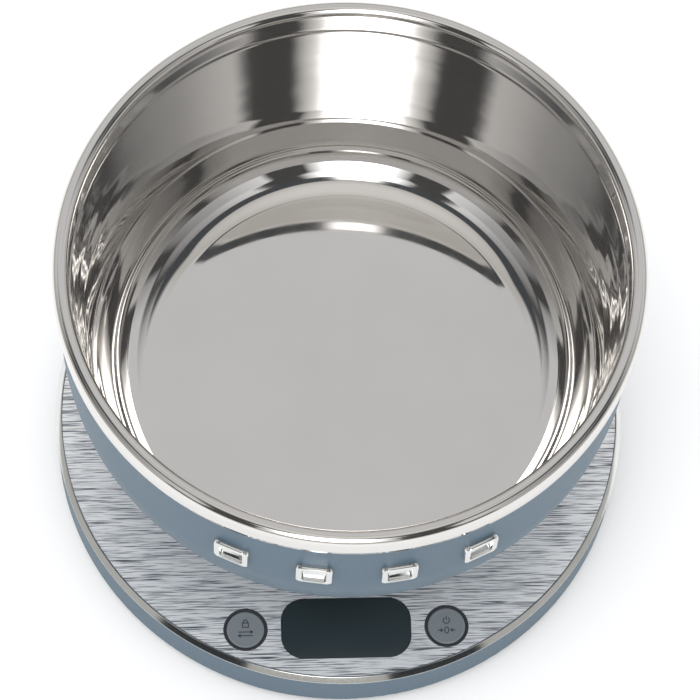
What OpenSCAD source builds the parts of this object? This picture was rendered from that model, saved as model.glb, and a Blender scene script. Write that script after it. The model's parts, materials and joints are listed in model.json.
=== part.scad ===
// Round kitchen scale with a lift-off mixing bowl.
// The origin is on the table at the centre of the base. The display faces -Y and +Z is up.

/* [Base] */
// Outer radius of the base
base_r = 105; // [100:1:110]
// Height of the painted skirt's top edge above the table
skirt_top = 22.9; // [22.4:0.1:23.4]
// Gap between the skirt and the table
skirt_gap = 2.8; // [2.4:0.1:3.2]
// Wall thickness of the housing
wall = 2.4; // [2:0.1:2.6]
// Height of the weighing plate's top surface
plate_top = 24.8; // [24.6:0.1:25]
// Thickness of the brushed steel plate
plate_t = 0.9; // [0.6:0.1:1]

/* [Display and buttons] */
// Distance of the display row in front of the centre
row_y = 84.4; // [83:0.1:85]
// Display window length
window_l = 47; // [44:0.5:48]
// Display window width
window_w = 22.8; // [20:0.2:23]
// Corner radius of the display window
window_r = 8.5; // [6:0.5:10]
// Sideways distance of each button from the centre line
button_x = 36.4; // [35:0.1:37]
// Radius of a button's cap
button_r = 6.8; // [6:0.1:6.9]
// Travel of a button when it is pressed
button_travel = 0.7; // [0.4:0.1:0.7]

/* [Feet and load cells] */
// Distance of each foot from the centre along X and Y
foot_xy = 52.3; // [50:0.1:54]
// Radius of a foot's rubber pad
pad_r = 8.5; // [7:0.5:9]
// Side of a square load cell
cell_l = 28; // [26:1:28]

/* [Batteries] */
// Radius of an AAA cell
battery_r = 5.2; // [5:0.05:5.25]
// Length of an AAA cell with its nub
battery_l = 44.5; // [43.5:0.1:44.6]

/* [Bowl] */
// Outer radius of the bowl's folded rim
rim_r = 100.3; // [100:0.1:101]
// Height of the rim above the weighing plate
bowl_h = 133.8; // [130:0.1:140]
// Width of the folded rim, from its inner face to its outer face
rim_w = 5.6; // [5.4:0.1:5.8]
// Height of the folded rim's outer face, down to its free edge
rim_skirt = 9.8; // [8:0.1:12]
// Thickness of the steel liner
liner_t = 0.8; // [0.6:0.1:1]
// Thickness of the painted outer shell
shell_t = 1.6; // [1.2:0.1:1.6]
// Height of the liner's floor above the weighing plate
liner_floor_h = 40.5; // [38:0.5:42]
// Radius of the foot under the bowl
bowl_foot_r = 52; // [46:1:54]

/* [Hidden] */

$fn = 96;
eps = 0.01;

// Colours
paint = [0.45, 0.52, 0.58];
steel = [0.78, 0.78, 0.77];
chrome = [0.9, 0.9, 0.9];
dark = [0.17, 0.19, 0.2];
cap_grey = [0.5, 0.52, 0.54];
white_plastic = [0.85, 0.85, 0.83];
rubber = [0.15, 0.15, 0.15];
board = [0.1, 0.35, 0.2];
copper = [0.75, 0.6, 0.35];

// Levels, from the table up
cover_z = skirt_gap + 0.4;
cover_t = 2;
cover_top = cover_z + cover_t;
deck_t = 2;
deck_top = skirt_top - 1.1;
deck_z = deck_top - deck_t;
plate_z = plate_top - plate_t;
window_t = 1.9;
window_z = plate_top - window_t;

// Housing
skirt_in = base_r - wall;
skirt_round = 2.2;
ring_in = base_r - 2.1;
ring_tongue = 0.6;
ring_top = plate_top + 0.2;
plate_r = ring_in - 0.2;
cover_r = skirt_in - 0.4;
boss_r = 3.5;
boss_ring = 92;
boss_angles = [0, 60, 120, 180, 236, 304];
screw_r = 1.25;
screw_bore = 1.3;
head_r = 2.8;
head_t = 1.1;

// Display stack
lcd = [44.5, 20.5, 2.7];
lcd_z = deck_top - 0.1 - lcd[2];
light = [44.5, 14, 2];
board_t = 1.6;
board_top = 15.1;
board_z = board_top - board_t;
board_x = 46;
board_y = [-96, -62];
board_limit = 99;
board_posts = [[-42, -68], [42, -68], [-27, -91.5], [27, -91.5]];
post_r = 2.4;
post_screw_r = 0.85;

// Buttons
bezel_in = button_r + 0.2;
bezel_out = 8;
bezel_flange = 8.8;
flange_z = deck_top + button_travel + 0.2;
flange_t = 0.6;
flange_r = button_r + 0.6;
bezel_z = flange_z + flange_t;
button_top = plate_top + 0.15;
stem_r = 2;
stem_end = 19.3;
switch_l = 6;
switch_h = 3.4;
plunger_r = 1.7;
plunger_l = 1.9;

// Feet and load cells
foot_places = [[1, -1], [1, 1], [-1, 1], [-1, -1]];
pad_top = 1.8;
cap_r = 10.3;
cap_z = 1.2;
cap_top = 4.6;
cell_z = 8.2;
cell_t = 2;
seat_l = cell_l + 3;
seat_top = cell_z + cell_t + 0.2;
foot_hole = 11.5;

// Battery compartment
cavity = [50.6, 22.6, 17];
box_wall = 1.7;
box_top = 18.4;
battery_y = 5.5;
battery_z = cavity[2] - battery_r - 0.1;
contact_t = 0.4;
contact_x = cavity[0] / 2 - contact_t;
nub_l = 0.8;
nub_r = 1.9;
battery_end = contact_x - 0.05;
spring_wire = 0.35;
spring_turns = 4;
wire_r = 0.7;
door_l = 49.2;
door_w = 22.4;
door_gap = 0.1;
hinge_y = door_w / 2 - cover_t / 2;
hinge_z = cover_z + cover_t / 2;

// Bowl, heights above the weighing plate
rim_round = rim_w / 2;
rim_in = rim_r - rim_w;
rim_mid = rim_r - rim_round;
rim_z = bowl_h - rim_round;
band_h = bowl_h - 12;
band_step = 0.15;
liner_wall = [89.3, 61.6];
liner_waist = [88, 58.4];
liner_floor = [68, liner_floor_h];
liner_dish = 0.6;
liner_bend = [3.3, 15];
shell_wall_r = 99;
shell_wall_h = 90.2;
shell_waist = [84.8, 36.2];
shell_slope = [0.319, 0.948];
shell_bottom = [50, 6.2];
shell_top_h = bowl_h - 4.4;
foot_pad_t = 1;
foot_w = 6;
badge_h = 101.2;
badge_size = [12.4, 13, 2];
badge_angles = [-24.6, -8.2, 8.2, 24.6];

// Outline of a rounded rectangle
module rounded(l, w, r) {
    for (sx = [-1, 1], sy = [-1, 1]) translate([sx * (l / 2 - r), sy * (w / 2 - r)]) circle(r);
    square([l - 2 * r, w], center = true);
    square([l, w - 2 * r], center = true);
}

module at_row(x = 0) {
    translate([x, -row_y, 0]) children();
}

module at_feet(i) {
    translate([foot_places[i][0] * foot_xy, foot_places[i][1] * foot_xy, 0]) children();
}

module at_bosses() {
    for (a = boss_angles) rotate(a) translate([boss_ring, 0, 0]) children();
}

module slab(l, w, r, z0, z1) {
    translate([0, 0, z0]) linear_extrude(z1 - z0) rounded(l, w, r);
}

module rod(r, z0, z1) {
    translate([0, 0, z0]) cylinder(r = r, h = z1 - z0);
}

// ---- Base ----

module base_housing() {
    color(paint) difference() {
        union() {
            rotate_extrude($fn = 180) difference() {
                translate([skirt_in, skirt_gap]) square([wall, skirt_top - skirt_gap]);
                difference() {
                    translate([base_r - skirt_round, skirt_gap - 1]) square(skirt_round + 1);
                    translate([base_r - skirt_round, skirt_gap + skirt_round]) circle(skirt_round, $fn = 48);
                }
                translate([ring_in - 0.1, deck_top]) square([ring_tongue + 0.2, wall]);
            }
            rotate_extrude($fn = 180) translate([0, deck_z]) square([skirt_in + eps, deck_t]);
            at_bosses() rod(boss_r, cover_top, deck_z + eps);
            for (p = board_posts) translate(p) rod(post_r, board_top, deck_z + eps);
        }
        at_bosses() rod(screw_bore, cover_top - 1, 15);
        for (p = board_posts) translate(p) rod(post_screw_r + 0.05, board_top - 1, 18.8);
        at_row() slab(lcd[0] + 0.6, lcd[1] + 0.6, 0.5, deck_z - 1, deck_top + 1);
        for (s = [-1, 1]) at_row(s * button_x) rod(stem_r + 0.2, deck_z - 1, deck_top + 1);
    }
}

module plate_carrier() {
    color(white_plastic) difference() {
        rod(skirt_in - 0.1, deck_top, plate_z);
        at_row() slab(window_l + 0.3, window_w + 0.3, window_r, window_z, plate_z + 1);
        at_row() slab(window_l - 4, window_w - 3.8, window_r - 2, deck_top - 1, window_z + 1);
        for (s = [-1, 1]) at_row(s * button_x) rod(bezel_flange + 0.05, deck_top - 1, plate_z + 1);
    }
}

module top_plate() {
    color(steel) difference() {
        rod(plate_r, plate_z, plate_top, $fn = 180);
        at_row() slab(window_l + 0.2, window_w + 0.2, window_r, plate_z - 1, plate_top + 1);
        for (s = [-1, 1]) at_row(s * button_x) rod(bezel_out + 0.05, plate_z - 1, plate_top + 1);
    }
}

module trim_ring() {
    color(chrome) rotate_extrude($fn = 180) polygon([
        [ring_in, deck_top + 0.1],
        [ring_in + ring_tongue, deck_top + 0.1],
        [ring_in + ring_tongue, skirt_top],
        [base_r, skirt_top],
        [base_r, skirt_top + 0.3],
        [ring_in + 0.35, ring_top],
        [ring_in, ring_top]
    ]);
}

module bottom_cover() {
    color(dark) difference() {
        union() {
            rod(cover_r, cover_z, cover_top);
            for (i = [0:3]) at_feet(i) translate([-seat_l / 2, -seat_l / 2, cover_top - eps])
                cube([seat_l, seat_l, seat_top - cover_top]);
        }
        for (i = [0:3]) at_feet(i) {
            rod(foot_hole, cover_z - 1, cover_top + 1);
            translate([-cell_l / 2 - 0.2, -cell_l / 2 - 0.2, cell_z]) cube([cell_l + 0.4, cell_l + 0.4, 5]);
            translate([-cell_l / 2 + 2, -cell_l / 2 + 2, cover_top]) cube([cell_l - 4, cell_l - 4, 5]);
        }
        at_bosses() {
            rod(screw_r + 0.3, cover_z - 1, cover_top + 1);
            rod(head_r + 0.2, cover_z - 1, cover_z + head_t + 0.1);
        }
        translate([-door_l / 2 - door_gap, -door_w / 2 - door_gap, cover_z - 1])
            cube([door_l + 2 * door_gap, door_w + 2 * door_gap, cover_t + 2]);
        translate([0, -door_w / 2, 0]) rod(5, cover_z - 1, cover_z + 0.9);
    }
}

// ---- Display ----

module display_window() {
    color(dark) at_row() slab(window_l, window_w, window_r, window_z, plate_top - 0.05);
}

module lcd_panel() {
    color([0.35, 0.4, 0.38]) at_row() slab(lcd[0], lcd[1], 0.4, lcd_z, lcd_z + lcd[2]);
}

module lcd_backlight() {
    color("white") at_row() slab(light[0], light[1], 0.4, lcd_z - light[2], lcd_z);
}

module zebra_strips() {
    color("pink") at_row() for (s = [-1, 1]) translate([-20, s * 8.4 - 0.8, board_top])
        cube([40, 1.6, lcd_z - board_top]);
}

module main_pcb() {
    color(board) difference() {
        intersection() {
            translate([-board_x, board_y[0], board_z]) cube([2 * board_x, board_y[1] - board_y[0], board_t]);
            rod(board_limit, board_z - 1, board_top + 1);
        }
        for (p = board_posts) translate(p) rod(1.1, board_z - 1, board_top + 1);
    }
}

module processor_blob() {
    color([0.08, 0.08, 0.08]) translate([0, -row_y + 16, board_top]) intersection() {
        translate([0, 0, -6]) sphere(8);
        rod(8, 0, 3);
    }
}

// ---- Buttons ----

module button_bezel() {
    color(dark) difference() {
        union() {
            rod(bezel_out, bezel_z, plate_top - 0.05);
            rod(bezel_flange, bezel_z, plate_z);
        }
        rod(bezel_in, bezel_z - 1, plate_top + 1);
    }
}

module button() {
    color(cap_grey) {
        rod(button_r, flange_z, button_top - 0.3);
        translate([0, 0, button_top - 0.3]) cylinder(r1 = button_r, r2 = button_r - 0.3, h = 0.3);
        rod(flange_r, flange_z, flange_z + flange_t);
        rod(stem_r, stem_end, flange_z + eps);
    }
}

module tact_switch() {
    color([0.2, 0.2, 0.2]) difference() {
        translate([-switch_l / 2, -switch_l / 2, board_top]) cube([switch_l, switch_l, switch_h]);
        rod(plunger_r + 0.2, stem_end - plunger_l - button_travel - 0.1, board_top + switch_h + 1);
    }
}

module switch_plunger() {
    color([0.7, 0.2, 0.15]) rod(plunger_r, stem_end - plunger_l, stem_end);
}

// ---- Feet and load cells ----

module load_cell(i) {
    color(steel) at_feet(i) difference() {
        translate([-cell_l / 2, -cell_l / 2, cell_z]) cube([cell_l, cell_l, cell_t]);
        for (s = [-1, 1]) translate([s * 8 - 1.25, -9, cell_z - 1]) cube([2.5, 18, cell_t + 2]);
        translate([-9.25, 7, cell_z - 1]) cube([18.5, 2, cell_t + 2]);
    }
}

module foot_cap(i) {
    color(cap_grey) at_feet(i) difference() {
        union() {
            rod(cap_r, cap_z, cap_top);
            rod(3, cap_top - eps, cell_z);
        }
        rod(pad_r, cap_z - 1, pad_top);
    }
}

module foot_pad(i) {
    color(rubber) at_feet(i) {
        rod(pad_r, 0.4, pad_top);
        cylinder(r1 = pad_r - 0.4, r2 = pad_r, h = 0.4);
    }
}

// ---- Batteries ----

module battery_box() {
    color(dark) difference() {
        translate([-cavity[0] / 2 - box_wall, -cavity[1] / 2 - box_wall, cover_top])
            cube([cavity[0] + 2 * box_wall, cavity[1] + 2 * box_wall, box_top - cover_top]);
        translate([-cavity[0] / 2, -cavity[1] / 2, cover_top - 1])
            cube([cavity[0], cavity[1], cavity[2] - cover_top + 1]);
    }
}

module battery_door() {
    color(dark) {
        translate([-door_l / 2, -door_w / 2, cover_z]) cube([door_l, door_w / 2 + hinge_y, cover_t]);
        translate([0, hinge_y, hinge_z]) rotate([0, 90, 0])
            cylinder(r = cover_t / 2, h = door_l, center = true);
    }
}

module battery(side) {
    color(side > 0 ? copper : [0.25, 0.3, 0.5]) translate([0, side * battery_y, battery_z])
        rotate([0, side * 90, 0]) {
            rod(battery_r, battery_end - battery_l, battery_end - nub_l);
            rod(nub_r, battery_end - nub_l - eps, battery_end);
        }
}

// Round wire of radius r swept along a list of points
module sweep(path, r, sides = 8) {
    last = len(path) - 1;
    rings = [for (i = [0:last]) let (
        d = path[min(i + 1, last)] - path[max(i - 1, 0)],
        t = d / norm(d), u = cross(t, [0, 0, 1]), v = u / norm(u), w = cross(t, v))
        [for (k = [0:sides - 1]) path[i] + r * (cos(k * 360 / sides) * v + sin(k * 360 / sides) * w)]];
    polyhedron(
        points = [for (ring = rings, p = ring) p],
        faces = concat(
            [[for (k = [0:sides - 1]) k]],
            [for (i = [0:last - 1], k = [0:sides - 1]) let (m = (k + 1) % sides)
                [i * sides + k, (i + 1) * sides + k, (i + 1) * sides + m, i * sides + m]],
            [[for (k = [sides - 1:-1:0]) last * sides + k]]
        )
    );
}

// Points of a coil that rises along +Z from z0 and tapers from radius r0 to r1
function coil(z0, len, r0, r1, turns, n = 14) = [for (i = [0:turns * n]) let (t = i / (turns * n), a = i * 360 / n)
    [(r0 + (r1 - r0) * t) * cos(a), (r0 + (r1 - r0) * t) * sin(a), z0 + len * t]];

module battery_springs() {
    start = -contact_x + spring_wire + 0.1;
    length = battery_end - battery_l - spring_wire - 0.1 - start;
    color(chrome) for (side = [-1, 1]) translate([0, side * battery_y, battery_z]) rotate([0, side * 90, 0])
        sweep(coil(start, length, 3.6, 2.2, spring_turns), spring_wire, 6);
}

module battery_contacts() {
    color(steel) for (sx = [-1, 1], side = [-1, 1])
        translate([sx * (contact_x + contact_t / 2), side * battery_y, battery_z])
            cube([contact_t, 9, 9], center = true);
}

// ---- Fasteners and wires ----

module case_screws() {
    color(steel) at_bosses() difference() {
        union() {
            rod(head_r, cover_z + 0.1, cover_z + head_t);
            rod(screw_r, cover_z + head_t - eps, 14);
        }
        for (a = [0, 90]) rotate(a) translate([-1.6, -0.3, cover_z - 1]) cube([3.2, 0.6, 1.7]);
    }
}

module pcb_screws() {
    color(steel) for (p = board_posts) translate(p) difference() {
        union() {
            rod(2, board_z - 1.2, board_z);
            rod(post_screw_r, board_z - eps, 18);
        }
        for (a = [0, 90]) rotate(a) translate([-1.1, -0.25, board_z - 2]) cube([2.2, 0.5, 1.4]);
    }
}

module wiring_harness() {
    low = 9.3;
    high = 12;
    end_z = board_z - wire_r - 0.05;
    color([0.7, 0.15, 0.1]) for (s = [-1, 1]) {
        sweep([[s * 36, -45, low], [s * 34, -46, low], [s * 33, -49, low], [s * 33, -58, low],
            [s * 33, -63, end_z - 0.6], [s * 33, -68, end_z]], wire_r);
        sweep([[s * 36, 45, low], [s * 31, 43, low], [s * 30, 38, low], [s * 30, -58, low],
            [s * 30, -63, end_z - 0.6], [s * 30, -68, end_z]], wire_r);
        sweep([[s * 10, -14, high], [s * 10, -60, high], [s * 10, -68, end_z]], wire_r);
    }
}

// ---- Bowl ----

// Points of a cubic curve from a to d, with b and c as its handles
function curve(a, b, c, d, n = 12) = [for (i = [0:n]) let (t = i / n, u = 1 - t)
    u * u * u * a + 3 * u * u * t * b + 3 * u * t * t * c + t * t * t * d];

module revolved(points) {
    translate([0, 0, plate_top]) rotate_extrude($fn = 180) polygon(points);
}

// Points round the top of the folded rim, from its inner side to its outer side
function rim_arc(r, n = 16) = [for (i = [0:n]) let (a = 180 - 180 * i / n)
    [rim_mid + r * cos(a), rim_z + r * sin(a)]];

function reversed(list) = [for (i = [len(list) - 1:-1:0]) list[i]];

// The liner's line from under the rim band to the axis, moved outwards by t
function liner_line(t) = let (
    wall = liner_wall + [t, 0], waist = liner_waist + [t, -t / 3], floor = liner_floor + [t / 3, -t],
    slope = (waist - wall) / norm(waist - wall))
    concat(
        [[rim_in + t, band_h], [rim_in - band_step + t, band_h - 0.4], wall],
        curve(waist, waist + liner_bend[0] * slope, floor + [liner_bend[1], 0.3], floor),
        [for (i = [5:-1:0]) [floor[0] * i / 6, floor[1] - liner_dish * (1 - i * i / 36)]]
    );

// The shell's outer line from its top edge to the axis, moved inwards by t
function shell_line(t) = let (
    wall = [shell_wall_r - t, shell_wall_h], waist = shell_waist + [-t, t / 3],
    bottom = shell_bottom + [-t / 3, t])
    concat(
        [[shell_wall_r - t, shell_top_h]],
        curve(wall, wall - [0, 18], waist + 20 * shell_slope, waist),
        curve(waist, waist - 12 * shell_slope, bottom + [22, 0], bottom),
        [[0, bottom[1]]]
    );

module bowl_liner() {
    edge_h = bowl_h - rim_skirt;
    color(steel) revolved(concat(
        [[rim_r, edge_h]], reversed(rim_arc(rim_round)), liner_line(0),
        reversed(liner_line(liner_t)), rim_arc(rim_round - liner_t), [[rim_r - liner_t, edge_h]]
    ));
}

module bowl_shell() {
    foot_in = bowl_foot_r - foot_w;
    color(paint) {
        revolved(concat(shell_line(0), reversed(shell_line(shell_t))));
        revolved([
            [foot_in, foot_pad_t], [bowl_foot_r, foot_pad_t],
            [bowl_foot_r, shell_bottom[1] + shell_t / 2], [foot_in, shell_bottom[1] + shell_t / 2]
        ]);
    }
}

module bowl_foot_pad() {
    color(rubber) revolved([
        [bowl_foot_r - foot_w + 0.5, 0], [bowl_foot_r - 0.5, 0],
        [bowl_foot_r - 0.5, foot_pad_t], [bowl_foot_r - foot_w + 0.5, foot_pad_t]
    ]);
}

module bowl_badges() {
    color(chrome) difference() {
        for (a = badge_angles) rotate(a - 90)
            translate([shell_wall_r - badge_size[2], -badge_size[0] / 2, plate_top + badge_h - badge_size[1] / 2])
                cube([2 * badge_size[2], badge_size[0], badge_size[1]]);
        rod(shell_wall_r, plate_top + badge_h - badge_size[1], plate_top + badge_h + badge_size[1], $fn = 180);
    }
}

base_housing();
plate_carrier();
top_plate();
trim_ring();
display_window();
lcd_panel();
lcd_backlight();
zebra_strips();
main_pcb();
processor_blob();
at_row(-button_x) button_bezel();  // button_bezel_left
at_row(button_x) button_bezel();  // button_bezel_right
at_row(-button_x) button();  // button_unit
at_row(button_x) button();  // button_tare
at_row(-button_x) tact_switch();  // tact_switch_left
at_row(button_x) tact_switch();  // tact_switch_right
at_row(-button_x) switch_plunger();  // switch_plunger_left
at_row(button_x) switch_plunger();  // switch_plunger_right
bottom_cover();
load_cell(0);  // load_cell_1
load_cell(1);  // load_cell_2
load_cell(2);  // load_cell_3
load_cell(3);  // load_cell_4
foot_cap(0);  // foot_cap_1
foot_cap(1);  // foot_cap_2
foot_cap(2);  // foot_cap_3
foot_cap(3);  // foot_cap_4
foot_pad(0);  // foot_pad_1
foot_pad(1);  // foot_pad_2
foot_pad(2);  // foot_pad_3
foot_pad(3);  // foot_pad_4
battery_box();
battery_door();
battery(1);  // battery_a
battery(-1);  // battery_b
battery_springs();
battery_contacts();
case_screws();
pcb_screws();
wiring_harness();
bowl_liner();
bowl_shell();
bowl_foot_pad();
bowl_badges();
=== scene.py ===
import json
import math

import bmesh
import bpy
from mathutils import Matrix, Vector


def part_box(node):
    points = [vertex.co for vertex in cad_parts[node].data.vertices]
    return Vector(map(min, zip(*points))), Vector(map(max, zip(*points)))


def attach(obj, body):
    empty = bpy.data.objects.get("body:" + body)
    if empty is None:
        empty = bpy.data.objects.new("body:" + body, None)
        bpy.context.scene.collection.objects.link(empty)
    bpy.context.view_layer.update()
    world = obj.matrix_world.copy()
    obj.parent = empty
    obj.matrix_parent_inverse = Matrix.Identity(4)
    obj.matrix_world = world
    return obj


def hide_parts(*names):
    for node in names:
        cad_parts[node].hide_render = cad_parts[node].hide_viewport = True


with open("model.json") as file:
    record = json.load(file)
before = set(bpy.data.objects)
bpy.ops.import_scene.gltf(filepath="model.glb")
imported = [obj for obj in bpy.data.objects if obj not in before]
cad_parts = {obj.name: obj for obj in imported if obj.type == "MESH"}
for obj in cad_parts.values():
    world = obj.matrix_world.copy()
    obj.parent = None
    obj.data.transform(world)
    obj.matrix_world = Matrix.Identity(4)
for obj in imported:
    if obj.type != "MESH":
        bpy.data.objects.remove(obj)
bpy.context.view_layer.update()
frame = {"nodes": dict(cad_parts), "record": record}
RECORD = frame["record"]
MM = 0.001
SEGMENTS = 360

# ---- Places taken from the CAD boxes, in millimetres ----


def mm_box(node):
    """A node's box in millimetres."""
    lo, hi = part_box(node)
    return lo / MM, hi / MM


PLATE_LO, PLATE_HI = mm_box("top_plate")
PLATE_TOP = PLATE_HI.z
RING_LO, RING_HI = mm_box("trim_ring")
BASE_R = RING_HI.x
_, LINER_HI = mm_box("bowl_liner")
RIM_R, RIM_TOP = LINER_HI.x, LINER_HI.z
WINDOW_LO, WINDOW_HI = mm_box("display_window")
BEZEL_LO, BEZEL_HI = mm_box("button_bezel_right")
CAP_LO, CAP_HI = mm_box("button_tare")
BADGE_LO, BADGE_HI = mm_box("bowl_badges")
_, SHELL_HI = mm_box("bowl_shell")
ROW_Y = (WINDOW_LO.y + WINDOW_HI.y) / 2
BUTTON_X = (CAP_LO.x + CAP_HI.x) / 2

# ---- Materials ----


class Nodes:
    """A material's node tree with short ways to add and join nodes."""

    def __init__(self, name):
        self.mat = bpy.data.materials.new(name)
        self.mat.use_nodes = True
        self.tree = self.mat.node_tree
        self.shader = self.tree.nodes["Principled BSDF"]

    def add(self, kind, **values):
        n = self.tree.nodes.new(kind)
        for key, value in values.items():
            if key[0] == "_":
                setattr(n, key[1:], value)
            else:
                n.inputs[key].default_value = value
        return n

    def link(self, a, b):
        self.tree.links.new(a, b)

    def set(self, **values):
        for key, value in values.items():
            self.shader.inputs[key.replace("_", " ")].default_value = value

    def place(self, scale=(1, 1, 1), turn=(0, 0, 0)):
        """Object coordinates, scaled and turned."""
        c = self.add("ShaderNodeTexCoord")
        m = self.add("ShaderNodeMapping", Scale=scale, Rotation=turn)
        self.link(c.outputs["Object"], m.inputs["Vector"])
        return m.outputs["Vector"]

    def noise(self, where, scale, detail=3.0, rough=0.55):
        n = self.add("ShaderNodeTexNoise", Scale=scale, Detail=detail, Roughness=rough)
        self.link(where, n.inputs["Vector"])
        return n.outputs["Fac"]

    def span(self, value, lo, hi, to_lo, to_hi):
        n = self.add("ShaderNodeMapRange")
        n.inputs["From Min"].default_value = lo
        n.inputs["From Max"].default_value = hi
        n.inputs["To Min"].default_value = to_lo
        n.inputs["To Max"].default_value = to_hi
        self.link(value, n.inputs["Value"])
        return n.outputs["Result"]

    def colours(self, value, stops):
        n = self.add("ShaderNodeValToRGB")
        ramp = n.color_ramp
        for i, (at, colour) in enumerate(stops):
            stop = ramp.elements[i] if i < 2 else ramp.elements.new(at)
            stop.position, stop.color = at, (*colour, 1)
        self.link(value, n.inputs["Fac"])
        return n.outputs["Color"]

    def base(self, socket):
        self.link(socket, self.shader.inputs["Base Color"])

    def roughness(self, socket):
        self.link(socket, self.shader.inputs["Roughness"])

    def bump(self, height, distance, strength=1.0):
        n = self.add("ShaderNodeBump", Distance=distance, Strength=strength)
        self.link(height, n.inputs["Height"])
        self.link(n.outputs["Normal"], self.shader.inputs["Normal"])


def tint(colour, k):
    return tuple(min(1, max(0, c * k)) for c in colour)


def grained(name, colour, rough, grain=900, depth=0.00002, spread=0.06, **values):
    """A moulded or painted surface: fine grain, slight colour and gloss variation."""
    m = Nodes(name)
    cloud = m.noise(m.place(), 35, 4)
    m.base(m.colours(cloud, [(0.3, tint(colour, 1 - spread)), (0.7, tint(colour, 1 + spread))]))
    fine = m.noise(m.place(), grain, 2)
    m.roughness(m.span(fine, 0.3, 0.7, rough - 0.04, rough + 0.04))
    m.bump(fine, depth)
    m.set(**values)
    return m.mat


def polished_steel():
    """Mirror-polished spun steel, with a weak second gloss stretched across its circular polishing lines."""
    m = Nodes("polished_steel")
    m.set(Metallic=1.0)
    cloud = m.noise(m.place(), 22, 3)
    tone = m.colours(cloud, [(0.3, (0.67, 0.655, 0.635)), (0.7, (0.7, 0.685, 0.665))])
    m.base(tone)
    m.roughness(m.span(m.noise(m.place(), 160, 3), 0.3, 0.7, 0.02, 0.05))
    apart = m.add("ShaderNodeSeparateXYZ")
    m.link(m.place(), apart.inputs[0])
    ripple = m.noise(m.place((1, 1, 3)), 34, 1, 0.4)
    for lo, hi, at_lo, at_hi in ((0.092, 0.104, 0, 1), (0.132, 0.142, 1, 0)):
        part = m.add("ShaderNodeMath", _operation="MULTIPLY")
        m.link(ripple, part.inputs[0])
        m.link(m.span(apart.outputs["Z"], lo, hi, at_lo, at_hi), part.inputs[1])
        ripple = part.outputs[0]
    m.bump(ripple, 0.0002)
    lines = m.add("ShaderNodeBsdfPrincipled")
    lines.inputs["Metallic"].default_value = 1.0
    lines.inputs["Roughness"].default_value = 0.42
    lines.inputs["Anisotropic"].default_value = 0.92
    lines.inputs["Anisotropic Rotation"].default_value = 0.25
    m.link(tone, lines.inputs["Base Color"])
    round_ = m.add("ShaderNodeTangent", _direction_type="RADIAL", _axis="Z")
    m.link(round_.outputs[0], lines.inputs["Tangent"])
    both = m.add("ShaderNodeMixShader", Fac=0.05)
    m.link(m.shader.outputs[0], both.inputs[1])
    m.link(lines.outputs[0], both.inputs[2])
    m.link(both.outputs[0], m.tree.nodes["Material Output"].inputs["Surface"])
    return m.mat


def brushed_steel():
    """Steel brushed along X: long thin streaks, some bright and some dark. The brushing lines are real; their
    near-black and near-white base colours are painted shade and painted highlights, standing in for how the lines
    catch the light.
    """
    m = Nodes("brushed_steel")
    m.set(Metallic=0.6)
    coarse = m.noise(m.place((0.03, 1, 1)), 2200, 3, 0.6)
    fine = m.noise(m.place((0.018, 1, 1)), 4600, 1, 0.6)
    mix = m.add("ShaderNodeMath", _operation="ADD")
    m.link(coarse, mix.inputs[0])
    m.link(fine, mix.inputs[1])
    both = m.span(mix.outputs[0], 0.8, 1.2, 0, 1)
    # Painted highlight and painted shade: the dark and near-white streak colours put the brushing lines' reflections
    # into the base colour
    m.base(m.colours(both, [(0.1, (0.12, 0.13, 0.15)), (0.3, (0.52, 0.54, 0.58)), (0.45, (0.92, 0.93, 0.95)),
                            (0.65, (1.0, 1.0, 1.0))]))
    m.roughness(m.span(both, 0, 1, 0.5, 0.36))
    m.bump(both, 0.00002, 0.4)
    return m.mat


def chrome():
    m = Nodes("chrome")
    m.set(Metallic=1.0)
    cloud = m.noise(m.place(), 60, 2)
    m.base(m.colours(cloud, [(0.3, (0.62, 0.63, 0.62)), (0.7, (0.68, 0.69, 0.68))]))
    m.roughness(m.span(m.noise(m.place(), 700, 3), 0.3, 0.7, 0.06, 0.12))
    return m.mat


def plain_steel():
    m = Nodes("plain_steel")
    m.set(Metallic=1.0)
    roll = m.noise(m.place((0.08, 1, 1)), 900, 3)
    m.base(m.colours(roll, [(0.3, (0.42, 0.42, 0.43)), (0.7, (0.58, 0.58, 0.58))]))
    m.roughness(m.span(roll, 0.3, 0.7, 0.28, 0.42))
    m.bump(roll, 0.00002)
    return m.mat


def board_green():
    m = Nodes("board_green")
    m.set(Coat_Weight=0.5, Coat_Roughness=0.15)
    wave = m.add("ShaderNodeTexWave", Scale=260, Distortion=6, Detail=2)
    m.link(m.place((1, 0.35, 1)), wave.inputs["Vector"])
    m.base(m.colours(wave.outputs["Fac"], [(0.62, (0.015, 0.1, 0.045)), (0.7, (0.03, 0.17, 0.07))]))
    m.roughness(m.span(m.noise(m.place(), 1200, 2), 0.3, 0.7, 0.3, 0.45))
    m.bump(wave.outputs["Fac"], 0.00003)
    return m.mat


def printed_sleeve(name, colour, band):
    m = Nodes(name)
    m.set(Metallic=0.6, Coat_Weight=0.6, Coat_Roughness=0.1)
    grad = m.add("ShaderNodeSeparateXYZ")
    m.link(m.place(), grad.inputs[0])
    m.base(m.colours(m.span(grad.outputs["X"], -0.025, 0.025, 0, 1), [
        (0.0, colour), (0.62, colour), (0.64, band), (1.0, band)]))
    m.roughness(m.span(m.noise(m.place(), 500, 3), 0.3, 0.7, 0.22, 0.34))
    return m.mat


def window_gloss():
    m = Nodes("display_gloss")
    depth = m.noise(m.place(), 18, 2)
    m.base(m.colours(depth, [(0.3, (0.02, 0.029, 0.033)), (0.7, (0.027, 0.037, 0.042))]))
    m.roughness(m.span(m.noise(m.place(), 1500, 2), 0.3, 0.7, 0.2, 0.26))
    m.set(Specular_IOR_Level=0.25)
    return m.mat


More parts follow.
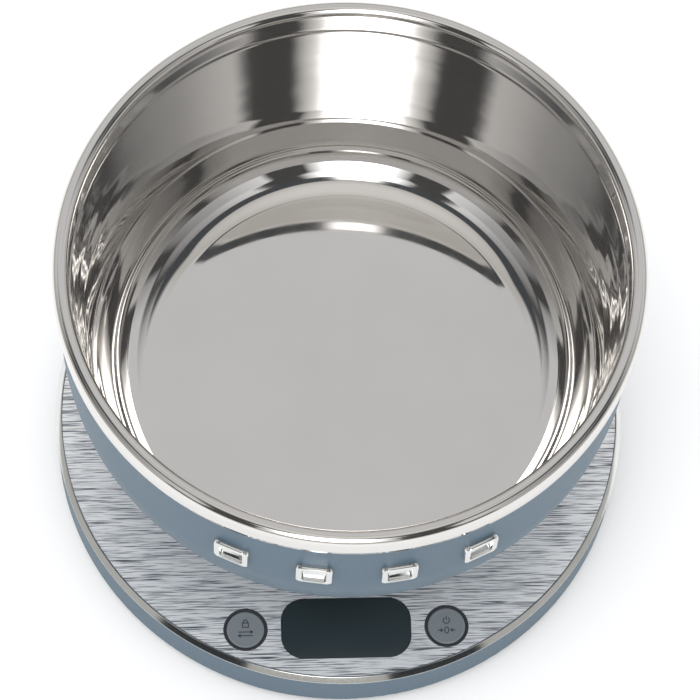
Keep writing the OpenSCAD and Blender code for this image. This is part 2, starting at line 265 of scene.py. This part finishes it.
MATERIALS = {
    "blue_paint": grained("blue_paint", (0.074, 0.12, 0.161), 0.45, 1400, 0.00001, 0.02, Specular_IOR_Level=0.22),
    "white_plastic": grained("white_plastic", (0.78, 0.78, 0.75), 0.5),
    "brushed_steel": brushed_steel(),
    "polished_steel": polished_steel(),
    "chrome": chrome(),
    "display_gloss": window_gloss(),
    "lcd_glass": grained("lcd_glass", (0.26, 0.3, 0.28), 0.12, 300, 0.000005, 0.04),
    "button_grey": grained("button_grey", (0.175, 0.197, 0.215), 0.5, 1800, 0.00001, 0.02, Specular_IOR_Level=0.3),
    "bezel_dark": grained("bezel_dark", (0.035, 0.037, 0.043), 0.45, 1500, 0.00001, 0.05, Specular_IOR_Level=0.3),
    "black_plastic": grained("black_plastic", (0.028, 0.028, 0.03), 0.55, 1100, 0.00006, 0.15),
    "foot_plastic": grained("foot_plastic", (0.19, 0.2, 0.21), 0.5, 1100, 0.00003, 0.05),
    "rubber": grained("rubber", (0.025, 0.025, 0.026), 0.8, 1600, 0.00005, 0.2),
    "plain_steel": plain_steel(),
    "board_green": board_green(),
    "plunger_red": grained("plunger_red", (0.38, 0.045, 0.035), 0.4),
    "cell_copper": printed_sleeve("cell_copper", (0.55, 0.36, 0.12), (0.03, 0.03, 0.035)),
    "cell_blue": printed_sleeve("cell_blue", (0.06, 0.1, 0.26), (0.6, 0.6, 0.6)),
    "wire_red": grained("wire_red", (0.42, 0.03, 0.02), 0.3, 800, 0.00001),
}

for part in RECORD["subparts"]:
    mesh = frame["nodes"][part["node"]].data
    mesh.materials.clear()
    mesh.materials.append(MATERIALS[part["material_slot"]])

# ---- Making pieces ----


def piece(name, bm, slot, body, stands_for=(), sharp=None):
    bmesh.ops.recalc_face_normals(bm, faces=bm.faces)
    mesh = bpy.data.meshes.new(name)
    bm.to_mesh(mesh)
    bm.free()
    for face in mesh.polygons:
        face.use_smooth = True
    if sharp:
        mesh.set_sharp_from_angle(angle=math.radians(sharp))
    mesh.materials.append(MATERIALS[slot])
    obj = bpy.data.objects.new(name, mesh)
    bpy.context.scene.collection.objects.link(obj)
    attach(obj, body)
    if stands_for:
        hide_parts(*stands_for)
    return obj


def turned(bm, outline, centre=(0, 0), segments=SEGMENTS, closed=True):
    """Adds a turned shape to bm from (radius, height) points in millimetres; points at radius 0 close it."""
    rings = []
    for r, z in outline:
        if r < 1e-6:
            rings.append([bm.verts.new((centre[0] * MM, centre[1] * MM, z * MM))])
            continue
        rings.append([bm.verts.new(((centre[0] + r * math.cos(t)) * MM, (centre[1] + r * math.sin(t)) * MM, z * MM))
                      for t in (2 * math.pi * i / segments for i in range(segments))])
    pairs = list(zip(rings, rings[1:] + rings[:1])) if closed else list(zip(rings[:-1], rings[1:]))
    for a, b in pairs:
        for i in range(segments):
            j = (i + 1) % segments
            corners = [a[i % len(a)], a[j % len(a)], b[j % len(b)], b[i % len(b)]]
            corners = [c for k, c in enumerate(corners) if c not in corners[:k]]
            if len(corners) > 2:
                bm.faces.new(corners)
    return bm


def rounded_outline(points, closed=False, step=6.0):
    """A (r, z, radius) polyline with each corner rounded to its radius, as (r, z) points."""
    out = []
    n = len(points)
    for i, (x, y, rad) in enumerate(points):
        p = Vector((x, y))
        if rad <= 0 or (not closed and i in (0, n - 1)):
            out.append((x, y))
            continue
        a = Vector(points[i - 1][:2]) - p
        b = Vector(points[(i + 1) % n][:2]) - p
        u, v = a.normalized(), b.normalized()
        half = math.acos(max(-1, min(1, u.dot(v)))) / 2
        if half > math.pi / 2 - 0.01:
            out.append((x, y))
            continue
        cut = min(rad / math.tan(half), a.length * 0.49, b.length * 0.49)
        rad = cut * math.tan(half)
        centre = p + (u + v).normalized() * (rad / math.sin(half))
        s, e = p + u * cut - centre, p + v * cut - centre
        turn = math.atan2(s.x * e.y - s.y * e.x, s.dot(e))
        steps = max(2, int(abs(math.degrees(turn)) / step) + 1)
        for k in range(steps + 1):
            t = turn * k / steps
            out.append((centre.x + s.x * math.cos(t) - s.y * math.sin(t),
                        centre.y + s.x * math.sin(t) + s.y * math.cos(t)))
    return out


def curve(a, b, c, d, n=40):
    """Points of a cubic curve after a, up to and with d."""
    out = []
    for i in range(1, n + 1):
        t = i / n
        u = 1 - t
        out.append(tuple(u ** 3 * a[k] + 3 * u * u * t * b[k] + 3 * u * t * t * c[k] + t ** 3 * d[k] for k in (0, 1)))
    return out


def filled(points, longest=2.0):
    """The same line with extra points, none further apart than longest, so that its shading stays even."""
    out = [points[0]]
    for a, b in zip(points[:-1], points[1:]):
        n = max(1, math.ceil(math.dist(a, b) / longest))
        out += [(a[0] + (b[0] - a[0]) * k / n, a[1] + (b[1] - a[1]) * k / n) for k in range(1, n + 1)]
    return out


def rounded_rectangle(length, width, radius, steps=14):
    out = []
    for sx, sy, a0 in ((1, 1, 0), (-1, 1, 90), (-1, -1, 180), (1, -1, 270)):
        for k in range(steps + 1):
            t = math.radians(a0 + 90 * k / steps)
            out.append((sx * (length / 2 - radius) + radius * math.cos(t),
                        sy * (width / 2 - radius) + radius * math.sin(t)))
    return out


def stacked(bm, layers):
    """Joins loops of (x, y, z) points in millimetres into a closed skin, the first and the last filled."""
    loops = [[bm.verts.new(Vector(p) * MM) for p in layer] for layer in layers]
    n = len(loops[0])
    for a, b in zip(loops[:-1], loops[1:]):
        for i in range(n):
            bm.faces.new((a[i], a[(i + 1) % n], b[(i + 1) % n], b[i]))
    bm.faces.new(loops[0][::-1])
    bm.faces.new(loops[-1])
    return bm


# ---- Bowl ----

RIM_W = 5.6
RIM_ROUND = RIM_W / 2
RIM_SKIRT = 9.8
LINER_T = 0.8
BOWL_H = RIM_TOP - PLATE_TOP
BAND_H = BOWL_H - 12
WALL = (89.3, 61.6)
WAIST = (88.0, 58.4)
FLOOR = (68.0, 40.5)
FLOOR_TILT = 1.0
BEND = (0.12, 0.55)


def up(points):
    """Bowl heights are counted from the plate; this brings them to the frame."""
    return [(r, z + PLATE_TOP) for r, z in points]


def liner_line(t):
    """The liner's section from rim to middle, as (radius, height) points, t further out than its inner face."""
    wall, waist = (WALL[0] + t, WALL[1]), (WAIST[0] + t, WAIST[1] - t / 3)
    floor = (FLOOR[0] + t / 3, FLOOR[1] - t)
    rim_in = RIM_R - RIM_W
    length = math.dist(wall, waist)
    slope = ((waist[0] - wall[0]) / length, (waist[1] - wall[1]) / length)
    tilt = math.tan(math.radians(FLOOR_TILT))
    first, last = (math.dist(waist, floor) * b for b in BEND)
    top = rounded_outline([(rim_in + t, BAND_H, 0), (rim_in - 0.15 + t, BAND_H - 0.4, 0),
                           (wall[0], wall[1], 40), (waist[0] - 0.01, waist[1], 0)], step=1.5)
    line = filled(top[:-1] + [waist])
    line += curve(waist, (waist[0] + first * slope[0], waist[1] + first * slope[1]),
                  (floor[0] + last, floor[1] + last * tilt), floor, 60)
    dish = floor[0] * tilt / 2
    line += [(floor[0] * k / 30, floor[1] - dish * (1 - (k / 30) ** 2)) for k in range(29, -1, -1)]
    return line


def rim_arc(radius, n=24):
    """A half circle over the rim, from its outer side to its inner side."""
    mid, z = RIM_R - RIM_ROUND, BOWL_H - RIM_ROUND
    return [(mid + radius * math.cos(math.pi * k / n), z + radius * math.sin(math.pi * k / n)) for k in range(n + 1)]


edge = BOWL_H - RIM_SKIRT
inside = liner_line(0)
outside = liner_line(LINER_T)
skin = filled([(RIM_R - 0.25, edge), (RIM_R, edge + 0.25)] + rim_arc(RIM_ROUND) + [inside[0]]) + inside[1:]
back = filled([outside[0]] + rim_arc(RIM_ROUND - LINER_T)[::-1] + [(RIM_R - LINER_T, edge)])
profile = skin + [(0.0, inside[-1][1] - LINER_T)] + outside[:-1][::-1] + back[1:]
piece("bowl_liner_spun", turned(bmesh.new(), up(profile)), "polished_steel", "bowl", ["bowl_liner"])

SHELL_T = 1.6
SHELL_R = SHELL_HI.x
FOOT_R, FOOT_W, FOOT_PAD, FOOT_TOP = 52, 6, 1, 7


def shell_line(t):
    """The shell's section from rim to middle, t further in than its outer face."""
    wall, waist, bottom = (SHELL_R - t, 90.2), (84.8 - t, 36.2 + t / 3), (50 - t / 3, 6.2 + t)
    s = (0.319, 0.948)
    line = filled([(SHELL_R - t, BOWL_H - 4.4), wall])
    line += curve(wall, (wall[0], wall[1] - 18), (waist[0] + 20 * s[0], waist[1] + 20 * s[1]), waist)
    line += curve(waist, (waist[0] - 12 * s[0], waist[1] - 12 * s[1]), (bottom[0] + 22, bottom[1]), bottom)
    return line + [(0.0, bottom[1])]


shell = turned(bmesh.new(), up(shell_line(0) + shell_line(SHELL_T)[::-1]))
foot = rounded_outline([(FOOT_R - FOOT_W, FOOT_TOP, 0), (FOOT_R - FOOT_W, FOOT_PAD, 0.3), (FOOT_R, FOOT_PAD, 0.5),
                        (FOOT_R, FOOT_TOP, 0)], closed=True)
turned(shell, up(foot))
piece("bowl_shell_spun", shell, "blue_paint", "bowl", ["bowl_shell"], sharp=50)

badges = bmesh.new()
BADGE_W, BADGE_H, BADGE_OUT = 12.4, BADGE_HI.z - BADGE_LO.z, 2.0
BADGE_Z = (BADGE_HI.z + BADGE_LO.z) / 2
BADGE_ANGLES = (-24.6, -8.2, 8.2, 24.6)
# From the back of a badge over its frame and down into its recess: how far in from the edge, how far below the top
BADGE_STEPS = ((0.0, 2.3), (0.0, 0.5), (0.15, 0.15), (0.5, 0.0), (1.9, 0.0), (2.1, 0.15), (2.3, 1.2), (2.6, 1.3))
for angle in BADGE_ANGLES:
    turn = Matrix.Rotation(math.radians(angle), 3, "Z")
    layers = []
    for inset, below in BADGE_STEPS:
        out = BADGE_OUT - below
        ring = rounded_rectangle(BADGE_W - 2 * inset, BADGE_H - 2 * inset, max(0.5, 2.2 - inset * 0.7), 8)
        layers.append([turn @ Vector((x, -math.sqrt((SHELL_R + out) ** 2 - x * x), BADGE_Z + z)) for x, z in ring])
    stacked(badges, layers)
piece("bowl_badge_frames", badges, "chrome", "bowl", ["bowl_badges"], sharp=35)

# ---- Base ----

RING_GAP, RING_TONGUE, RING_H, RING_LIP, RING_TOP_W = 0.2, 0.6, 2.1, 0.35, 0.35
ring_in = PLATE_HI.x + RING_GAP
ring_under = RING_HI.z - RING_H
ring_profile = rounded_outline([
    (ring_in, RING_LO.z, 0), (ring_in + RING_TONGUE, RING_LO.z, 0), (ring_in + RING_TONGUE, ring_under, 0),
    (BASE_R, ring_under, 0), (BASE_R, ring_under + RING_LIP, 0.12), (ring_in + RING_TOP_W, RING_HI.z, 0.25),
    (ring_in, RING_HI.z, 0.08)], closed=True)
piece("trim_ring_turned", turned(bmesh.new(), ring_profile), "chrome", "base", ["trim_ring"], sharp=20)

WINDOW_R = 8.5
window = bmesh.new()
size = WINDOW_HI - WINDOW_LO
layers = []
for inset, z in ((0.0, WINDOW_LO.z), (0.0, WINDOW_HI.z - 0.35), (0.12, WINDOW_HI.z - 0.1), (0.4, WINDOW_HI.z)):
    ring = rounded_rectangle(size.x - 2 * inset, size.y - 2 * inset, WINDOW_R - inset)
    layers.append([(x, y + ROW_Y, z) for x, y in ring])
stacked(window, layers)
piece("display_window_lens", window, "display_gloss", "base", ["display_window"], sharp=40)

BUTTONS = ((-1, "left", "button_unit", "button_unit_body"), (1, "right", "button_tare", "button_tare_body"))
CAP_R, CAP_FLANGE_R, CAP_STEM_R, CAP_DISH = 6.8, 7.4, 2.0, 0.12
BEZEL_BORE, BEZEL_R, BEZEL_FLANGE_R = 7.0, 8.0, 8.8
bezel = rounded_outline([
    (BEZEL_BORE, BEZEL_LO.z, 0), (BEZEL_FLANGE_R, BEZEL_LO.z, 0), (BEZEL_FLANGE_R, PLATE_LO.z, 0),
    (BEZEL_R, PLATE_LO.z, 0), (BEZEL_R, BEZEL_HI.z, 0.2), (BEZEL_BORE, BEZEL_HI.z, 0.3)], closed=True)
top, flange = CAP_HI.z, CAP_LO.z + 3.4
cap = rounded_outline([
    (0.0, top - CAP_DISH, 0), (CAP_R - 1.4, top - CAP_DISH, 1.0), (CAP_R - 0.7, top, 0.4), (CAP_R, top - 0.15, 0.3),
    (CAP_R, flange + 0.6, 0), (CAP_FLANGE_R, flange + 0.6, 0), (CAP_FLANGE_R, flange, 0), (CAP_STEM_R, flange, 0),
    (CAP_STEM_R, CAP_LO.z, 0.1), (0.0, CAP_LO.z, 0)])
for side, word, node, body in BUTTONS:
    centre = (side * BUTTON_X, ROW_Y)
    piece(f"button_surround_{word}", turned(bmesh.new(), bezel, centre, 96), "bezel_dark", "base",
          [f"button_bezel_{word}"], sharp=40)
    piece(f"{node}_cap", turned(bmesh.new(), cap, centre, 96, closed=False), "button_grey", body, [node], sharp=40)

# Symbols printed on the caps: a lock over two opposed arrows, and a power mark over a zero between two arrowheads
INK_W, INK_H = 0.34, 0.05


def stroke(bm, points, z, closed=False):
    """Adds a thin raised line through points of (x, y) in millimetres."""
    pts = [Vector(p) for p in points]
    n = len(pts)
    sides = []
    for i, p in enumerate(pts):
        back = (p - pts[i - 1]) if (closed or i) else (pts[1] - p)
        ahead = (pts[(i + 1) % n] - p) if (closed or i < n - 1) else (p - pts[i - 1])
        back, ahead = back.normalized(), ahead.normalized()
        along = (back + ahead).normalized()
        across = Vector((-along.y, along.x)) * (INK_W / 2 / max(0.35, along.dot(back)))
        sides.append([bm.verts.new((q.x * MM, q.y * MM, h * MM)) for q, h in (
            (p + across, z), (p + across, z + INK_H), (p - across, z + INK_H), (p - across, z))])
    pairs = list(zip(sides, sides[1:] + sides[:1])) if closed else list(zip(sides[:-1], sides[1:]))
    for a, b in pairs:
        for k in range(4):
            bm.faces.new((a[k], a[(k + 1) % 4], b[(k + 1) % 4], b[k]))
    if not closed:
        bm.faces.new(sides[0][::-1])
        bm.faces.new(sides[-1])


def arc(cx, cy, rx, ry, a0, a1, n=16):
    """Points on an ellipse round (cx, cy), from angle a0 to a1 in degrees."""
    angles = (math.radians(a0 + (a1 - a0) * k / n) for k in range(n + 1))
    return [(cx + rx * math.cos(t), cy + ry * math.sin(t)) for t in angles]


for side, word, node, body in BUTTONS:
    x, y, z = side * BUTTON_X, ROW_Y, CAP_HI.z - CAP_DISH - 0.02
    ink = bmesh.new()
    if side < 0:
        stroke(ink, [(x - 1.1, y + 0.9), (x + 1.1, y + 0.9), (x + 1.1, y + 2.5), (x - 1.1, y + 2.5)], z, closed=True)
        stroke(ink, [(x - 0.65, y + 2.5)] + arc(x, y + 3.0, 0.65, 0.75, 180, 0) + [(x + 0.65, y + 2.5)], z)
        for s, h in ((1, -0.9), (-1, -2.3)):
            stroke(ink, [(x - 2.6, y + h), (x + 2.6, y + h)], z)
            stroke(ink, [(x + s * 1.7, y + h + 0.6), (x + s * 2.6, y + h), (x + s * 1.7, y + h - 0.6)], z + 0.01)
    else:
        stroke(ink, arc(x, y + 2.1, 1.15, 1.15, 125, 415, 24), z)
        stroke(ink, [(x, y + 2.2), (x, y + 3.7)], z)
        stroke(ink, arc(x, y - 1.6, 0.75, 1.15, 0, 345, 24), z, closed=True)
        for s in (1, -1):
            stroke(ink, [(x + s * 3.2, y - 1.6), (x + s * 1.5, y - 1.6)], z)
            stroke(ink, [(x + s * 2.2, y - 1.0), (x + s * 1.5, y - 1.6), (x + s * 2.2, y - 2.2)], z + 0.01)
    piece(f"{node}_symbols", ink, "bezel_dark", body, sharp=30)

# ---- Studio and camera ----

CAMERA_AZIMUTH, CAMERA_ELEVATION, CAMERA_ROLL = -6.1, 66.96, 4.72


SCALLOPS = 11
SOFTBOX_SCALE = 8
# Brightness of the reflected walls by angle from the camera: softbox, black flags, grey sides, paler back
WALL_STOPS = ((0, 7), (9, 5), (15, 1.5), (19.5, 0.6), (21.5, 0.06), (35, 0.06), (38, 0.9), (46, 0.75), (56, 0.5),
              (70, 0.36), (80, 0.24), (85, 0.06), (92, 0.06), (97, 0.4), (112, 0.73))


def studio_world():
    """White studio light. In reflections it is a room: pale above, dark in front with a softbox in the middle."""
    w = bpy.data.worlds.new("studio")
    w.use_nodes = True
    tree = w.node_tree
    tree.nodes.clear()

    def add(kind, operation=None, *inputs):
        n = tree.nodes.new(kind)
        if operation:
            n.operation = operation
        for i, value in enumerate(inputs):
            if isinstance(value, bpy.types.NodeSocket):
                tree.links.new(value, n.inputs[i])
            else:
                n.inputs[i].default_value = value
        return n

    def calc(operation, *inputs):
        return add("ShaderNodeMath", operation, *inputs).outputs[0]

    def smooth(value, lo, hi):
        n = tree.nodes.new("ShaderNodeMapRange")
        n.interpolation_type = "SMOOTHSTEP"
        n.inputs["From Min"].default_value, n.inputs["From Max"].default_value = lo, hi
        tree.links.new(value, n.inputs["Value"])
        return n.outputs["Result"]

    def blend(share, a, b):
        n = tree.nodes.new("ShaderNodeMix")
        n.data_type = "RGBA"
        tree.links.new(share, n.inputs["Factor"])
        for socket, value in ((n.inputs["A"], a), (n.inputs["B"], b)):
            if isinstance(value, bpy.types.NodeSocket):
                tree.links.new(value, socket)
            else:
                socket.default_value = (*value, 1)
        return n.outputs["Result"]

    direction = add("ShaderNodeTexCoord").outputs["Generated"]
    parts = add("ShaderNodeSeparateXYZ", None, direction)
    height = calc("MULTIPLY", calc("ARCSINE", parts.outputs["Z"]), 180 / math.pi)
    a = math.radians(CAMERA_AZIMUTH)
    level = calc("SQRT", calc("ADD", calc("MULTIPLY", parts.outputs["X"], parts.outputs["X"]),
                              calc("MULTIPLY", parts.outputs["Y"], parts.outputs["Y"])))
    facing = calc("ADD", calc("MULTIPLY", parts.outputs["X"], math.sin(a)),
                  calc("MULTIPLY", parts.outputs["Y"], -math.cos(a)))
    round_ = calc("MULTIPLY", calc("ARCCOSINE", calc("DIVIDE", facing, calc("MAXIMUM", level, 0.0001))), 1 / math.pi)
    high = calc("MULTIPLY", smooth(height, 45, 51), calc("SUBTRACT", 1.0, smooth(height, 61, 64)))
    scallop = calc("ABSOLUTE", calc("SINE", calc("MULTIPLY", height, SCALLOPS)))
    stretch = calc("ADD", 1.0, calc("MULTIPLY", high, calc("ADD", 0.14, calc("MULTIPLY", scallop, 0.14))))
    ramp = tree.nodes.new("ShaderNodeValToRGB")
    tree.links.new(calc("DIVIDE", round_, stretch), ramp.inputs["Fac"])
    for i, (degrees, value) in enumerate(WALL_STOPS):
        stop = ramp.color_ramp.elements[i] if i < 2 else ramp.color_ramp.elements.new(degrees / 180)
        stop.position = degrees / 180
        stop.color = (value / SOFTBOX_SCALE, value / SOFTBOX_SCALE, value * 1.01 / SOFTBOX_SCALE, 1)
    walls = tree.nodes.new("ShaderNodeMix")
    walls.data_type, walls.blend_type = "RGBA", "MULTIPLY"
    walls.inputs["Factor"].default_value = 1
    tree.links.new(ramp.outputs["Color"], walls.inputs["A"])
    walls.inputs["B"].default_value = (*(SOFTBOX_SCALE,) * 3, 1)
    ceiling = blend(smooth(height, 66, 84), (0.57, 0.553, 0.53), (0.84, 0.825, 0.8))
    ring = calc("MULTIPLY", smooth(height, 60, 62), calc("SUBTRACT", 1.0, smooth(height, 70.5, 72)))
    ring = calc("MULTIPLY", ring, calc("ADD", 0.55, calc("MULTIPLY", 0.45, smooth(round_, 0.04, 0.12))))
    ring = calc("MULTIPLY", ring, calc("SUBTRACT", 1.0, smooth(round_, 0.7, 0.8)))
    band = calc("MULTIPLY", smooth(height, 21, 24), calc("SUBTRACT", 1.0, smooth(height, 68, 71)))
    room = blend(band, ceiling, walls.outputs["Result"])
    room = blend(ring, room, (0.06, 0.066, 0.075))
    low = calc("MULTIPLY", smooth(height, 9, 11), calc("SUBTRACT", 1.0, smooth(height, 22, 24)))
    low = calc("MULTIPLY", low, smooth(round_, 0.105, 0.115))
    low = calc("MULTIPLY", low, calc("SUBTRACT", 1.0, smooth(round_, 0.25, 0.27)))
    room = blend(low, room, (0.04, 0.042, 0.045))
    path = tree.nodes.new("ShaderNodeLightPath")
    colour = blend(path.outputs["Is Glossy Ray"], (1.25, 1.25, 1.25), room)
    background = tree.nodes.new("ShaderNodeBackground")
    tree.links.new(colour, background.inputs["Color"])
    out = tree.nodes.new("ShaderNodeOutputWorld")
    tree.links.new(background.outputs[0], out.inputs["Surface"])
    return w


bpy.context.scene.world = studio_world()

STUDIO_R = 6
bm = bmesh.new()
bmesh.ops.create_circle(bm, cap_ends=True, radius=STUDIO_R, segments=64)
mesh = bpy.data.meshes.new("studio_floor")
bm.to_mesh(mesh)
bm.free()
floor = Nodes("studio_floor")
floor.base(floor.colours(floor.noise(floor.place(), 3), [(0.3, (0.93, 0.93, 0.93)), (0.7, (0.95, 0.95, 0.95))]))
floor.set(Roughness=0.8, Specular_IOR_Level=0.1)
mesh.materials.append(floor.mat)
ground = bpy.data.objects.new("studio_floor", mesh)
bpy.context.scene.collection.objects.link(ground)

CAMERA_DISTANCE, CAMERA_LENS = 1.26, 174.2
aim = Vector((4.4, 21.5, PLATE_TOP + 7.5)) * MM
a, e = math.radians(CAMERA_AZIMUTH), math.radians(CAMERA_ELEVATION)
away = Vector((math.sin(a) * math.cos(e), -math.cos(a) * math.cos(e), math.sin(e)))
camera = bpy.data.objects.new("camera", bpy.data.cameras.new("camera"))
camera.data.lens, camera.data.sensor_width = CAMERA_LENS, 36
camera.data.clip_end = 50
camera.location = aim + away * CAMERA_DISTANCE
straight = away.to_track_quat("Z", "Y").to_matrix().to_4x4()
roll = Matrix.Rotation(math.radians(CAMERA_ROLL), 4, "Z")
camera.matrix_world = Matrix.Translation(camera.location) @ straight @ roll
bpy.context.scene.collection.objects.link(camera)
bpy.context.scene.camera = camera
bpy.context.scene.view_settings.view_transform = "Standard"

lamp = bpy.data.lights.new("key", "AREA")
lamp.size, lamp.energy = 1.6, 12
key = bpy.data.objects.new("key", lamp)
key.location = (-0.8, -0.6, 2.2)
key.rotation_euler = (Vector((0, 0, 0.1)) - key.location).to_track_quat("-Z", "Y").to_euler()
key.visible_glossy = False
bpy.context.scene.collection.objects.link(key)

bpy.context.view_layer.update()
